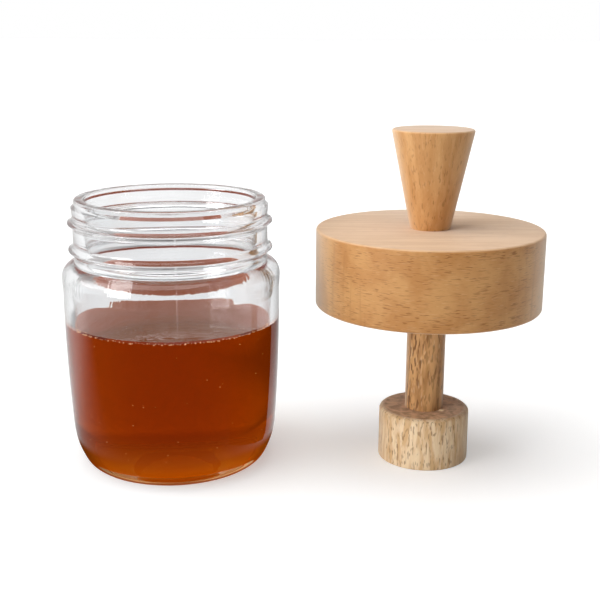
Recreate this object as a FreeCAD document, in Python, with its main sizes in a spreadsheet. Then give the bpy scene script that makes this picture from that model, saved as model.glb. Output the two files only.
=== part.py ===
"""Honey jar with a turned wooden dipper lid that stands beside it. Millimetres, +Z up, both on z = 0.

The glass jar has a round lip, two closed bead rings on its neck and honey up to a level below the
shoulder. The dipper lid is a wooden cap whose recess drops over the neck, with a conical knob on
top and, below, a stem whose foot hangs in the honey when the jar is shut. The origin is under the
middle of the pair, and +X runs from the jar to the dipper.
"""

import FreeCAD
import Part
import math
import os
import re
import Sketcher

# Driving dimensions.
SIZES = {
    # The jar's outside
    "jar_height": 110.7,
    "jar_radius": 44.23,
    "neck_step": 5.0,  # how much narrower the neck is than the body
    "shoulder_drop": 8.5,
    "swell_depth": 0.26,  # a faint swelling of the side just under the shoulder
    "swell_length": 5.0,
    "waist_below_shoulder": 10.8,
    "side_taper": 1.74,
    "heel_height": 17.3,
    "heel_radius": 6.3,
    "ring_inset": 9.63,  # from the top of the heel in to the ring that the jar rests on
    "ring_width": 3.2,
    "base_rise": 2.2,
    # The neck's finish, from the root up
    "bead_reach": 1.94,
    "bead_nose": 0.5,  # the round of a bead's crest
    "root_gap": 0.995,
    "lower_bead_drop": 2.3,  # from a bead's crest down to where it leaves the neck
    "lower_bead_rise": 2.5,
    "bead_gap": 5.7,
    "upper_bead_drop": 2.4,
    "upper_bead_rise": 2.6,
    "lip_band": 3.7,  # from the upper bead to the lip's corner
    "lip_slope_height": 1.2,
    "lip_slope_depth": 1.2,
    "lip_crown": 2.0,  # the ring that stands on the slope and makes the rim
    "lip_round": 0.8,
    "lip_step": 0.35,
    "lip_wall": 5.15,
    # The jar's inside
    "glass_wall": 3.8,
    "base_wall": 2.8,
    "floor_inset": 7.4,  # from the foot of the inner wall in to the flat floor
    "floor_heel_radius": 5.5,
    "floor_heel_height": 12.5,
    "inner_shoulder_drop": 11.0,
    "inner_neck_round": 3.0,
    # The honey
    "honey_below_rim": 48.9,  # from the top of the lip down to the honey's surface
    "honey_gap": 0.1,
    # The wooden cap
    "lid_wall": 4.53,
    "lid_plate": 9.0,
    "lid_edge_round": 1.1,
    "recess_round": 1.5,
    "lid_fit": 0.6,  # radial room between the recess and the beads
    "skirt_gap": 0.6,  # left between the cap's rim and the jar's shoulder when it is shut
    # The knob, stem and foot
    "knob_length": 39.3,
    "knob_low_radius": 8.25,
    "knob_top_radius": 16.2,
    "knob_edge_round": 0.7,
    "stem_radius": 8.0,
    "tenon_radius": 5.0,
    "tenon_in_knob": 18.0,
    "tenon_end_gap": 0.5,
    "foot_radius": 18.86,
    "foot_height": 22.0,
    "foot_top_round": 1.8,
    "foot_low_round": 0.8,
    "stem_in_foot": 12.0,
    "glue_gap": 0.1,  # radial room for glue round the tenon and the stem's lower end
    "foot_above_floor": 16.4,  # between the foot and the jar's floor when the jar is shut
    # How the two stand
    "standing_gap": 14.77,
}

# Worked out from the driving dimensions, in this order.
PLACES = {
    "neck_radius": "jar_radius - neck_step",
    "bead_radius": "neck_radius + bead_reach",
    "lip_radius": "neck_radius + lip_step",
    "mouth_radius": "lip_radius - lip_wall",
    "lip_corner_height": "jar_height - lip_crown - lip_slope_height",
    "crown_radius": "lip_radius - lip_slope_depth",
    "lower_bead_length": "lower_bead_drop + lower_bead_rise",
    "upper_bead_length": "upper_bead_drop + upper_bead_rise",
    "beads_length": "root_gap + lower_bead_length + bead_gap + upper_bead_length",
    "neck_length": "beads_length + lip_band + lip_slope_height + lip_crown",
    "neck_root_height": "jar_height - neck_length",
    "lower_bead_height": "neck_root_height + root_gap + lower_bead_drop",
    "upper_bead_height": "lower_bead_height + lower_bead_rise + bead_gap + upper_bead_drop",
    "shoulder_height": "neck_root_height - shoulder_drop",
    "inner_shoulder_height": "neck_root_height - inner_shoulder_drop",
    "waist_height": "shoulder_height - waist_below_shoulder",
    "waist_radius": "jar_radius - swell_depth",
    "heel_top_radius": "waist_radius - side_taper",
    "ring_radius": "heel_top_radius - ring_inset",
    "floor_height": "base_rise + base_wall",
    "honey_level": "jar_height - honey_below_rim",
    "recess_radius": "bead_radius + lid_fit",
    "recess_depth": "neck_length - skirt_gap",
    "lid_radius": "recess_radius + lid_wall",
    "lid_height": "recess_depth + lid_plate",
    "lid_low_height": "neck_root_height + skirt_gap - floor_height - foot_above_floor",
    "plate_low_height": "lid_low_height + recess_depth",
    "lid_top_height": "lid_low_height + lid_height",
    "knob_top_height": "lid_top_height + knob_length",
    "stem_end_height": "foot_height - stem_in_foot",
    "tenon_top_height": "lid_top_height + tenon_in_knob",
    "knob_hole_height": "tenon_top_height + tenon_end_gap",
    "tenon_hole_radius": "tenon_radius + glue_gap",
    "stem_hole_radius": "stem_radius + glue_gap",
    "pair_length": "2 * jar_radius + standing_gap + 2 * lid_radius",
    "jar_axis_x": "jar_radius - pair_length / 2",
    "dipper_axis_x": "pair_length / 2 - lid_radius",
}

ALIAS = re.compile(r"[a-z]+(?:_[a-z]+)+")
LEAST_CUT = 1.0  # cubic millimetres that a cut has to take to count as one

doc = FreeCAD.newDocument("honey_jar_with_dipper")
sizes = doc.addObject("Spreadsheet::Sheet", "Sizes")
places = doc.addObject("Spreadsheet::Sheet", "Places")
sheet_of = {}


def add_cell(sheet, alias, text):
    """Writes one named cell in the sheet's next row."""
    row = 1 + sum(1 for home in sheet_of.values() if home is sheet)
    sheet.set(f"A{row}", alias)
    sheet.set(f"B{row}", text)
    sheet.setAlias(f"B{row}", alias)
    sheet_of[alias] = sheet


def bound(formula):
    """The formula with each alias written as Sheet.alias."""
    return ALIAS.sub(lambda found: f"{sheet_of[found.group()].Name}.{found.group()}", formula)


def add_place(alias, formula):
    """Adds a worked-out value to the second sheet."""
    add_cell(places, alias, "=" + bound(formula))


def value(alias):
    return float(sheet_of[alias].get(alias))


def turned_arc(radius, rise, name):
    """Adds the radius of an arc that ends upright: it covers rise along the axis and radius across it."""
    add_place(name, f"(({radius})^2 + ({rise})^2) / (2 * ({radius}))")


def add_bead_side(name, rise):
    """Adds the values of one side of a bead: a hollow from the neck that runs into the nose."""
    turned_arc("bead_reach", rise, f"{name}_bend")
    add_place(f"{name}_hollow", f"{name}_bend - bead_nose")
    add_place(f"{name}_joint_radius", f"neck_radius + bead_reach * {name}_hollow / {name}_bend")
    add_place(f"{name}_joint_rise", f"{rise} * bead_nose / {name}_bend")


def add_wall(prefix, floor, edge, small, low_radius, low_height, high_radius, high_height):
    """Adds the values of a wall that leaves a floor in two tangent arcs and goes on as one long arc.

    The first arc leaves the floor at radius edge and has radius small. The second joins it to the
    long side arc, which starts at low_radius, low_height and ends upright at high_radius, high_height.
    """
    rise = f"({high_height} - ({low_height}))"
    taper = f"({high_radius} - ({low_radius}))"
    turned_arc(taper, rise, f"{prefix}_side_bend")
    side = f"{prefix}_side_bend"
    across = f"({low_radius} - ({edge}))"
    up = f"({low_height} - ({floor}) - {small})"
    add_place(f"{prefix}_lean_cos", f"({side} - {taper}) / {side}")
    add_place(f"{prefix}_lean_sin", f"{rise} / {side}")
    lean_part = f"{across} * {prefix}_lean_cos - {up} * {prefix}_lean_sin"
    heel = f"{prefix}_heel_bend"
    add_place(heel, f"({across}^2 + {up}^2 - {small}^2) / (2 * ({lean_part} - {small}))")
    share = f"{small} / ({heel} - {small})"
    add_place(
        f"{prefix}_joint_radius",
        f"{edge} + {share} * ({heel} * {prefix}_lean_cos - {across})",
    )
    add_place(
        f"{prefix}_joint_height",
        f"{floor} + {small} - {share} * ({up} + {heel} * {prefix}_lean_sin)",
    )


def fill_sheets():
    for alias, number in SIZES.items():
        add_cell(sizes, alias, str(number))
    for alias, formula in PLACES.items():
        add_place(alias, formula)
    turned_arc("swell_depth", "swell_length", "swell_bend")
    turned_arc("neck_step", "shoulder_drop", "shoulder_bend")
    for bead in ("upper_bead", "lower_bead"):
        add_bead_side(f"{bead}_top", f"{bead}_rise")
        add_bead_side(f"{bead}_low", f"{bead}_drop")
    turned_arc("base_rise", "ring_radius - ring_width", "underside_bend")
    add_wall(
        "outer",
        "0",
        "ring_radius",
        "heel_radius",
        "heel_top_radius",
        "heel_height",
        "waist_radius",
        "waist_height",
    )
    for prefix, gap in (("inner", "0"), ("honey", "honey_gap")):
        add_place(f"{prefix}_wall_radius", f"waist_radius - glass_wall - {gap}")
        add_place(f"{prefix}_floor_height", f"floor_height + {gap}")
        add_place(f"{prefix}_low_radius", f"{prefix}_wall_radius - side_taper")
        add_place(f"{prefix}_floor_radius", f"{prefix}_low_radius - floor_inset")
        add_place(f"{prefix}_low_height", f"floor_height + floor_heel_height")
        add_place(f"{prefix}_mouth_radius", f"mouth_radius - {gap}")
        add_wall(
            prefix,
            f"{prefix}_floor_height",
            f"{prefix}_floor_radius",
            "floor_heel_radius",
            f"{prefix}_low_radius",
            f"{prefix}_low_height",
            f"{prefix}_wall_radius",
            "waist_height",
        )
        across = f"{prefix}_wall_radius - {prefix}_mouth_radius"
        turned_arc(across, "inner_shoulder_drop", f"{prefix}_shoulder_bend")
    doc.recompute()


def cavity(prefix):
    """Corners of the jar's hollow from the middle of its floor up to the root of the neck."""
    return [
        ("floor_middle", "0", f"{prefix}_floor_height"),
        ("floor_edge", f"{prefix}_floor_radius", f"{prefix}_floor_height", "out", "floor_heel_radius"),
        ("floor_joint", f"{prefix}_joint_radius", f"{prefix}_joint_height", "out", f"{prefix}_heel_bend"),
        ("wall_low", f"{prefix}_low_radius", f"{prefix}_low_height", "out", f"{prefix}_side_bend"),
        ("wall_waist", f"{prefix}_wall_radius", "waist_height"),
        ("wall_top", f"{prefix}_wall_radius", "inner_shoulder_height", "out", f"{prefix}_shoulder_bend"),
        ("neck_low", f"{prefix}_mouth_radius", "neck_root_height"),
    ]


def backwards(corners):
    """The same corners in the other order, so that an arc that bulged out of the outline now cuts in."""
    turned = []
    for here, before in zip(corners[::-1], corners[-2::-1] + [None]):
        bend = ("in", before[4]) if before and len(before) > 3 else ()
        turned.append(here[:3] + bend)
    return turned


def bead(name):
    """Corners of one closed ring round the neck, from below."""
    low = f"{name}_low"
    top = f"{name}_top"
    crest = f"{name}_height"
    return [
        (f"{name}_foot", "neck_radius", f"{crest} - {name}_drop", "in", f"{low}_hollow"),
        (f"{low}_joint", f"{low}_joint_radius", f"{crest} - {low}_joint_rise", "out", "bead_nose"),
        (f"{name}_crest", "bead_radius", crest, "out", "bead_nose"),
        (f"{top}_joint", f"{top}_joint_radius", f"{crest} + {top}_joint_rise", "in", f"{top}_hollow"),
        (f"{name}_head", "neck_radius", f"{crest} + {name}_rise"),
    ]


def add_arc(start, end, radius, side):
    """An arc from start to end. Going round the outline anticlockwise, "out" bulges it away from the middle."""
    chord = end - start
    half = chord.Length / 2
    left = FreeCAD.Vector(-chord.y, chord.x, 0).normalize()
    rise = math.sqrt(max(radius**2 - half**2, 0.0))
    centre = (start + end) / 2 + left * (rise if side == "out" else -rise)
    first, last = (start, end) if side == "out" else (end, start)
    angles = [math.atan2(point.y - centre.y, point.x - centre.x) for point in (first, last)]
    return Part.ArcOfCircle(Part.Circle(centre, FreeCAD.Vector(0, 0, 1), radius), *angles)


def outline(body, corners):
    """A closed sketch in the body's XZ plane. Each corner is its name, radius and height, and for an
    arc to the next corner the side it bulges to and its radius."""
    sketch = body.newObject("Sketcher::SketchObject", f"{body.Name}_outline")
    plane = next(o for o in body.Origin.OriginFeatures if o.Role == "XZ_Plane")
    sketch.AttachmentSupport = [(plane, "")]
    sketch.MapMode = "FlatFace"
    cells = []
    for name, radius, height, *_ in corners:
        pair = (f"{body.Name}_{name}_across", f"{body.Name}_{name}_up")
        add_place(pair[0], radius)
        add_place(pair[1], height)
        cells.append(pair)
    doc.recompute()
    points = [FreeCAD.Vector(value(across), value(up), 0) for across, up in cells]
    following = points[1:] + points[:1]
    ends = []
    for start, end, (_, _, _, *arc) in zip(points, following, corners):
        if arc:
            sketch.addGeometry(add_arc(start, end, value(arc[1]), arc[0]), False)
            ends.append((1, 2) if arc[0] == "out" else (2, 1))
        else:
            sketch.addGeometry(Part.LineSegment(start, end), False)
            ends.append((1, 2))
    for index, (name, radius, height, *arc) in enumerate(corners):
        first = ends[index][0]
        after = (index + 1) % len(corners)
        join = (index, ends[index][1], after, ends[after][0])
        sketch.addConstraint(Sketcher.Constraint("Coincident", *join))
        for direction, text, alias, axis in (
            ("DistanceX", radius, cells[index][0], -2),
            ("DistanceY", height, cells[index][1], -1),
        ):
            if text == "0":
                sketch.addConstraint(Sketcher.Constraint("PointOnObject", index, first, axis))
                continue
            place = (direction, -1, 1, index, first, value(alias))
            number = sketch.addConstraint(Sketcher.Constraint(*place))
            sketch.setExpression(f"Constraints[{number}]", bound(alias))
        if arc:
            round_part = Sketcher.Constraint("Radius", index, value(arc[1]))
            number = sketch.addConstraint(round_part)
            sketch.setExpression(f"Constraints[{number}]", bound(arc[1]))
    return sketch


def turn(label, axis_x, corners):
    """A body turned about its own upright axis, which stands at axis_x."""
    body = doc.addObject("PartDesign::Body", label)
    body.Label = label
    sketch = outline(body, corners)
    turned = body.newObject("PartDesign::Revolution", f"{label}_turned")
    turned.Profile = sketch
    turned.ReferenceAxis = (sketch, ["V_Axis"])
    turned.Angle = 360
    body.setExpression("Placement.Base.x", bound(axis_x))
    doc.recompute()
    return body


def soften(body, radius, spots):
    """Rounds the circular edges of the body that pass through these spots, each a radius and a height."""
    base = body.Tip
    names = []
    for across, up in spots:
        spot = (value(across), value(up))
        rings = [
            (abs(edge.Curve.Radius - spot[0]) + abs(edge.Curve.Center.z - spot[1]), f"Edge{number}")
            for number, edge in enumerate(base.Shape.Edges, 1)
            if not edge.Degenerated and isinstance(edge.Curve, Part.Circle)
        ]
        names.append(min(rings)[1])
    rounded = body.newObject("PartDesign::Fillet", f"{body.Name}_{radius}")
    rounded.Base = (base, names)
    rounded.setExpression("Radius", bound(radius))
    doc.recompute()


def corner(body, name):
    return (f"{body.Name}_{name}_across", f"{body.Name}_{name}_up")


def make_jar():
    outside = [
        ("underside_middle", "0", "base_rise", "in", "underside_bend"),
        ("ring_inside", "ring_radius - ring_width", "0"),
        ("ring_outside", "ring_radius", "0", "out", "heel_radius"),
        ("heel_joint", "outer_joint_radius", "outer_joint_height", "out", "outer_heel_bend"),
        ("heel_top", "heel_top_radius", "heel_height", "out", "outer_side_bend"),
        ("waist", "waist_radius", "waist_height"),
        ("swell", "waist_radius", "shoulder_height - swell_length", "out", "swell_bend"),
        ("shoulder", "jar_radius", "shoulder_height", "out", "shoulder_bend"),
        ("neck_root", "neck_radius", "neck_root_height"),
        *bead("lower_bead"),
        *bead("upper_bead"),
        ("lip_corner", "lip_radius", "lip_corner_height"),
        ("crown_foot", "crown_radius", "jar_height - lip_crown"),
        ("crown_outside", "crown_radius", "jar_height - lip_round", "out", "lip_round"),
        ("rim_outside", "crown_radius - lip_round", "jar_height"),
        ("rim_inside", "mouth_radius + lip_round", "jar_height", "out", "lip_round"),
        ("lip_inside", "mouth_radius", "jar_height - lip_round"),
    ]
    jar = turn("jar", "jar_axis_x", outside + backwards(cavity("inner")))
    soften(jar, "inner_neck_round", [corner(jar, "neck_low")])
    return jar


def make_honey():
    """Honey in the jar's hollow, cut level on top."""
    honey = turn("honey", "jar_axis_x", cavity("honey") + [("top_middle", "0", "neck_root_height")])
    whole = honey.Shape.Volume
    top = honey.newObject("Sketcher::SketchObject", "honey_level_outline")
    plane = next(o for o in honey.Origin.OriginFeatures if o.Role == "XY_Plane")
    top.AttachmentSupport = [(plane, "")]
    top.MapMode = "FlatFace"
    top.setExpression("AttachmentOffset.Base.z", bound("honey_level"))
    up = FreeCAD.Vector(0, 0, 1)
    top.addGeometry(Part.Circle(FreeCAD.Vector(0, 0, 0), up, value("jar_radius")), False)
    top.addConstraint(Sketcher.Constraint("Coincident", 0, 3, -1, 1))
    number = top.addConstraint(Sketcher.Constraint("Radius", 0, value("jar_radius")))
    top.setExpression(f"Constraints[{number}]", bound("jar_radius"))
    level = honey.newObject("PartDesign::Pocket", "honey_level_cut")
    level.Profile = top
    level.Type = "Length"
    level.setExpression("Length", bound("jar_height"))
    level.Reversed = True
    doc.recompute()
    if whole - honey.Shape.Volume < LEAST_CUT:
        raise RuntimeError("the honey was not cut to its level")
    return honey


def make_lid():
    """The wooden cap: a thick plate with a skirt that drops over the neck."""
    lid = turn(
        "lid",
        "dipper_axis_x",
        [
            ("hole_low", "tenon_hole_radius", "plate_low_height"),
            ("recess_corner", "recess_radius", "plate_low_height"),
            ("rim_inside", "recess_radius", "lid_low_height"),
            ("rim_outside", "lid_radius", "lid_low_height"),
            ("top_edge", "lid_radius", "lid_top_height"),
            ("hole_top", "tenon_hole_radius", "lid_top_height"),
        ],
    )
    edges = ("rim_inside", "rim_outside", "top_edge")
    soften(lid, "lid_edge_round", [corner(lid, name) for name in edges])
    soften(lid, "recess_round", [corner(lid, "recess_corner")])
    return lid


def make_knob():
    """The conical knob, with a blind hole for the stem's tenon."""
    knob = turn(
        "knob",
        "dipper_axis_x",
        [
            ("hole_mouth", "tenon_hole_radius", "lid_top_height"),
            ("low_edge", "knob_low_radius", "lid_top_height"),
            ("top_edge", "knob_top_radius", "knob_top_height"),
            ("top_middle", "0", "knob_top_height"),
            ("hole_middle", "0", "knob_hole_height"),
            ("hole_corner", "tenon_hole_radius", "knob_hole_height"),
        ],
    )
    soften(knob, "knob_edge_round", [corner(knob, "top_edge")])
    return knob


def make_stem():
    """The dowel, with a shouldered tenon that goes through the cap's plate into the knob."""
    return turn(
        "stem",
        "dipper_axis_x",
        [
            ("end_middle", "0", "stem_end_height"),
            ("end_edge", "stem_radius", "stem_end_height"),
            ("shoulder_edge", "stem_radius", "plate_low_height"),
            ("tenon_low", "tenon_radius", "plate_low_height"),
            ("tenon_top", "tenon_radius", "tenon_top_height"),
            ("top_middle", "0", "tenon_top_height"),
        ],
    )


def make_foot():
    """The round foot, with a blind hole for the stem."""
    foot = turn(
        "foot",
        "dipper_axis_x",
        [
            ("low_middle", "0", "0"),
            ("low_edge", "foot_radius", "0"),
            ("top_edge", "foot_radius", "foot_height"),
            ("hole_edge", "stem_hole_radius", "foot_height"),
            ("hole_corner", "stem_hole_radius", "stem_end_height"),
            ("hole_middle", "0", "stem_end_height"),
        ],
    )
    soften(foot, "foot_top_round", [corner(foot, "top_edge")])
    soften(foot, "foot_low_round", [corner(foot, "low_edge")])
    return foot


def write_parts(parts):
    doc.recompute()
    failed = [o.Name for o in doc.Objects if {"Invalid", "Error"} & set(o.State)]
    if failed:
        raise RuntimeError(f"these objects failed: {failed}")
    os.makedirs("parts", exist_ok=True)
    for part in parts:
        shape = part.Shape
        if shape.isNull() or not shape.isValid() or len(shape.Solids) != 1:
            raise RuntimeError(f"{part.Label} is not one valid solid")
        box = shape.BoundBox
        print(
            f"{part.Label}: {shape.Volume / 1000:.2f} cm3, x {box.XMin:.2f} to {box.XMax:.2f},"
            f" z {box.ZMin:.2f} to {box.ZMax:.2f}"
        )
    for part in parts:
        part.Shape.exportStep(os.path.join("parts", f"{part.Label}.step"))


fill_sheets()
write_parts([make_jar(), make_honey(), make_lid(), make_knob(), make_stem(), make_foot()])
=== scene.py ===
"""Looks of the honey jar with its wooden dipper lid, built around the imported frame. Metres, +Z up."""

import math
import random

import bpy
from mathutils import Matrix, Vector


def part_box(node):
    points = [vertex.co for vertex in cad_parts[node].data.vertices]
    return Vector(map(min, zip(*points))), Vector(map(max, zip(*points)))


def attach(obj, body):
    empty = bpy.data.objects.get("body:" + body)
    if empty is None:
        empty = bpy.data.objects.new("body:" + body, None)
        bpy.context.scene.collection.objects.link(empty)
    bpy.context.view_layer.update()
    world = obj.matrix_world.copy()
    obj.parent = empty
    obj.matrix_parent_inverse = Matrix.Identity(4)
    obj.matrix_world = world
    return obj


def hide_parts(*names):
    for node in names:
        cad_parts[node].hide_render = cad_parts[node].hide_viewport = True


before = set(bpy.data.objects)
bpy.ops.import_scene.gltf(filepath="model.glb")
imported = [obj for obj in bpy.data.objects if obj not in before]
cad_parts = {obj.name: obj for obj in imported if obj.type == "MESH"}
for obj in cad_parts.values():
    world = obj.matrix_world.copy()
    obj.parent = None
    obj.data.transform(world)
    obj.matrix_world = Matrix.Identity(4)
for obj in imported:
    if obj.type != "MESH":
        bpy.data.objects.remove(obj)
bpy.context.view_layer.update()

MM = 0.001
random.seed(7)


# ---------------------------------------------------------------- places read from the frame

def middle_x(node):
    low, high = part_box(node)
    return (low.x + high.x) / 2


def reach(node):
    """Half of the node's width."""
    low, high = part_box(node)
    return (high.x - low.x) / 2


def bottom(node):
    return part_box(node)[0].z


def top(node):
    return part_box(node)[1].z


JAR_X = middle_x("jar")
DIPPER_X = middle_x("lid")
HONEY_LEVEL = top("honey")


# ---------------------------------------------------------------- modelling

def start_piece(name):
    """A new object at the origin that holds one vertex there, in edit mode."""
    if bpy.context.object and bpy.context.object.mode != "OBJECT":
        bpy.ops.object.mode_set(mode="OBJECT")
    bpy.ops.object.select_all(action="DESELECT")
    bpy.ops.mesh.primitive_plane_add(size=MM, location=(0, 0, 0))
    piece = bpy.context.object
    piece.name = name
    piece.data.name = name
    bpy.ops.object.mode_set(mode="EDIT")
    bpy.ops.mesh.merge(type="CENTER")
    return piece


def turn(name, outline, axis_x, steps):
    """Turns an outline of (radius, height) points about the upright line at axis_x, as on a lathe."""
    piece = start_piece(name)
    here = Vector((0, 0, 0))
    points = [Vector((axis_x + radius, 0, height)) for radius, height in outline]
    bpy.ops.transform.translate(value=points[0] - here)
    for here, there in zip(points, points[1:]):
        bpy.ops.mesh.extrude_vertices_move(TRANSFORM_OT_translate={"value": there - here})
    bpy.ops.mesh.select_all(action="SELECT")
    bpy.ops.mesh.spin(steps=steps, angle=math.tau, center=(axis_x, 0, 0), axis=(0, 0, 1))
    bpy.ops.mesh.select_all(action="SELECT")
    bpy.ops.mesh.remove_doubles(threshold=0.001 * MM)
    bpy.ops.mesh.normals_make_consistent(inside=False)
    bpy.ops.object.mode_set(mode="OBJECT")
    return piece


def finish_piece(piece, node, slot, *materials, angle=None):
    """Smooths a piece, gives it its materials and ties it to the frame in place of the CAD node."""
    bpy.ops.object.select_all(action="DESELECT")
    piece.select_set(True)
    bpy.context.view_layer.objects.active = piece
    if angle is None:
        bpy.ops.object.shade_smooth()
    else:
        bpy.ops.object.shade_smooth_by_angle(angle=math.radians(angle))
    piece.data.materials.clear()
    for material in materials:
        piece.data.materials.append(material)
    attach(piece, "root")
    if node:
        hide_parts(node)


def arc(centre, radius, start, end, count):
    """Points on an arc, without its first point. Angles in degrees from straight out."""
    found = []
    for step in range(1, count + 1):
        angle = math.radians(start + (end - start) * step / count)
        found.append((centre[0] + radius * math.cos(angle), centre[1] + radius * math.sin(angle)))
    return found


def upright_arc(start, end, upright, count):
    """An arc from start to end, without its first point, that is upright at "start" or "end"."""
    (near_r, near_z), (far_r, far_z) = (start, end) if upright == "start" else (end, start)
    across = near_r - far_r
    rise = far_z - near_z
    radius = (across**2 + rise**2) / (2 * across)
    swept = math.degrees(math.asin(max(-1.0, min(1.0, rise / radius))))
    centre = (near_r - radius, near_z)
    angles = (0, swept) if upright == "start" else (swept, 0)
    return arc(centre, radius, *angles, count)


# ---------------------------------------------------------------- shading

WHITE = (1.0, 1.0, 1.0, 1.0)
SMOOTH = {"interpolation_type": "SMOOTHSTEP"}      # for ramps that ease in and out


def colour(text):
    """An sRGB hex colour as linear red, green, blue and full alpha."""
    parts = [int(text[i : i + 2], 16) / 255 for i in (1, 3, 5)]
    linear = [p / 12.92 if p <= 0.04045 else ((p + 0.055) / 1.055) ** 2.4 for p in parts]
    return (*linear, 1.0)


def add(tree, kind, inputs=(), **settings):
    """Adds a node with its own settings and with inputs, which are given in order or by name.

    An input is a number, a colour, a socket to link to, or a node, for its first shown output.
    """
    node = tree.nodes.new(kind)
    for name, setting in settings.items():
        setattr(node, name, setting)
    named = inputs if isinstance(inputs, dict) else dict(enumerate(inputs))
    for name, given in named.items():
        if isinstance(given, bpy.types.Node):
            given = next(socket for socket in given.outputs if socket.enabled)
        if isinstance(given, bpy.types.NodeSocket):
            tree.links.new(given, node.inputs[name])
        else:
            node.inputs[name].default_value = given
    return node


def new_material(name):
    material = bpy.data.materials.new(name)
    material.use_nodes = True
    material.node_tree.nodes.clear()
    return material, material.node_tree


def object_xyz(tree):
    """The place on the piece along X, Y and Z."""
    place = add(tree, "ShaderNodeTexCoord")
    parts = add(tree, "ShaderNodeSeparateXYZ", (place.outputs["Object"],))
    return tuple(parts.outputs)


def distance_squared(tree, axis_x):
    """The square of the distance from the upright line at axis_x."""
    x, y, _ = object_xyz(tree)
    out_x = add(tree, "ShaderNodeMath", (x, axis_x), operation="SUBTRACT")
    x_squared = add(tree, "ShaderNodeMath", (out_x, out_x), operation="MULTIPLY")
    y_squared = add(tree, "ShaderNodeMath", (y, y), operation="MULTIPLY")
    return add(tree, "ShaderNodeMath", (x_squared, y_squared), operation="ADD")


def grain(tree, sizes, detail=2.0, distortion=0.0, shift=0.0):
    """Noise whose patches are about as large as sizes, in millimetres along X, Y and Z."""
    place = add(tree, "ShaderNodeTexCoord")
    mapped = add(
        tree,
        "ShaderNodeMapping",
        {
            "Vector": place.outputs["Object"],
            "Location": (shift, shift, shift),
            "Scale": tuple(1000.0 / size for size in sizes),
        },
    )
    return add(
        tree,
        "ShaderNodeTexNoise",
        {"Vector": mapped, "Scale": 1.0, "Detail": detail, "Distortion": distortion},
    )


def rays(tree, *kinds):
    """1 for the kinds of ray that are named, 0 for the rest."""
    path = add(tree, "ShaderNodeLightPath")
    found = path.outputs[kinds[0]]
    for kind in kinds[1:]:
        found = add(tree, "ShaderNodeMath", (found, path.outputs[kind]), operation="MAXIMUM")
    return found


def let_light_through(tree, surface, tint="#ffffff"):
    """The surface for what is seen, and a clear one for lamps and light that matt surfaces gather."""
    clear = add(tree, "ShaderNodeBsdfTransparent", {"Color": colour(tint)})
    unseen = rays(tree, "Is Shadow Ray", "Is Diffuse Ray")
    return add(tree, "ShaderNodeMixShader", (unseen, surface, clear))


# ---------------------------------------------------------------- glass and honey

SEAM_TURN = math.radians(9.2)         # where the front seam stands, round from -Y towards +X
SEAM_FLANK = (0.05 * MM, 0.4 * MM)    # how far from its middle the seam starts and stops falling
CHILLED_FROM = (74 * MM, 77 * MM)     # heights between which the mould's chill comes in
CHILLED_TO = (82 * MM, 84 * MM)       # and goes again
# heights over which the painted amber light on the heel fades out
PAINTED_AMBER_HEEL = (3 * MM, 9 * MM)


def glass_skin(tree):
    """Slow waves all over, fine ripples where the blow mould chills the glass, and the front seam."""
    x, y, z = object_xyz(tree)
    waves = grain(tree, (14, 14, 10), 1.0)
    ripples = grain(tree, (1.3, 1.3, 7), 1.0, 0.3, 4.0)
    chill_in = add(tree, "ShaderNodeMapRange", (z, *CHILLED_FROM, 0.0, 0.9), **SMOOTH)
    chill_out = add(tree, "ShaderNodeMapRange", (z, *CHILLED_TO, 1.0, 0.0), **SMOOTH)
    chilled = add(tree, "ShaderNodeMath", (chill_in, chill_out), operation="MULTIPLY")
    ripples = add(tree, "ShaderNodeMath", (ripples, chilled), operation="MULTIPLY")
    out_x = add(tree, "ShaderNodeMath", (x, JAR_X), operation="SUBTRACT")
    across = add(tree, "ShaderNodeMath", (out_x, math.cos(SEAM_TURN)), operation="MULTIPLY")
    ahead = add(tree, "ShaderNodeMath", (y, math.sin(SEAM_TURN)), operation="MULTIPLY")
    off_seam = add(tree, "ShaderNodeMath", (across, ahead), operation="ADD")
    off_seam = add(tree, "ShaderNodeMath", (off_seam,), operation="ABSOLUTE")
    seam = add(tree, "ShaderNodeMapRange", (off_seam, *SEAM_FLANK, 0.7, 0.0), **SMOOTH)
    in_front = add(tree, "ShaderNodeMath", (y, 0.0), operation="LESS_THAN")
    seam = add(tree, "ShaderNodeMath", (seam, in_front), operation="MULTIPLY")
    height = add(tree, "ShaderNodeMath", (waves, ripples), operation="ADD")
    height = add(tree, "ShaderNodeMath", (height, seam), operation="ADD")
    return add(
        tree, "ShaderNodeBump", {"Strength": 0.6, "Distance": 0.12 * MM, "Height": height}
    )


def soda_lime_glass():
    """Pressed soda-lime jar glass: clear and fire-polished, with a mould seam down its front.

    Seen along its skin it is painted grey, a painted shade for the darker look of glass at its
    edges, and its heel is painted amber, for light that has crossed the honey to reach it.
    """
    material, tree = new_material("soda_lime_glass")
    edge = add(tree, "ShaderNodeLayerWeight", {"Blend": 0.5}).outputs["Facing"]
    # painted shade: the glass is greyed where it is seen edge-on
    darkening = add(tree, "ShaderNodeMapRange", (edge, 0.55, 0.95), **SMOOTH)
    _, _, z = object_xyz(tree)
    # painted light: amber low on the heel
    amber_heel_mask = add(tree, "ShaderNodeMapRange", (z, *PAINTED_AMBER_HEEL, 1.0, 0.0), **SMOOTH)
    tones = {0: darkening, 6: colour("#f8f9fa"), 7: colour("#757570")}
    tone = add(tree, "ShaderNodeMix", tones, data_type="RGBA")
    tones = {0: amber_heel_mask, 6: tone, 7: colour("#e3b074")}
    tone = add(tree, "ShaderNodeMix", tones, data_type="RGBA")
    glass = add(
        tree,
        "ShaderNodeBsdfPrincipled",
        {
            "Base Color": tone,
            "Roughness": 0.0,
            "IOR": 1.51,
            "Transmission Weight": 1.0,
            "Normal": glass_skin(tree),
        },
    )
    add(tree, "ShaderNodeOutputMaterial", (let_light_through(tree, glass, "#c6c9cc"),))
    return material


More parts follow.
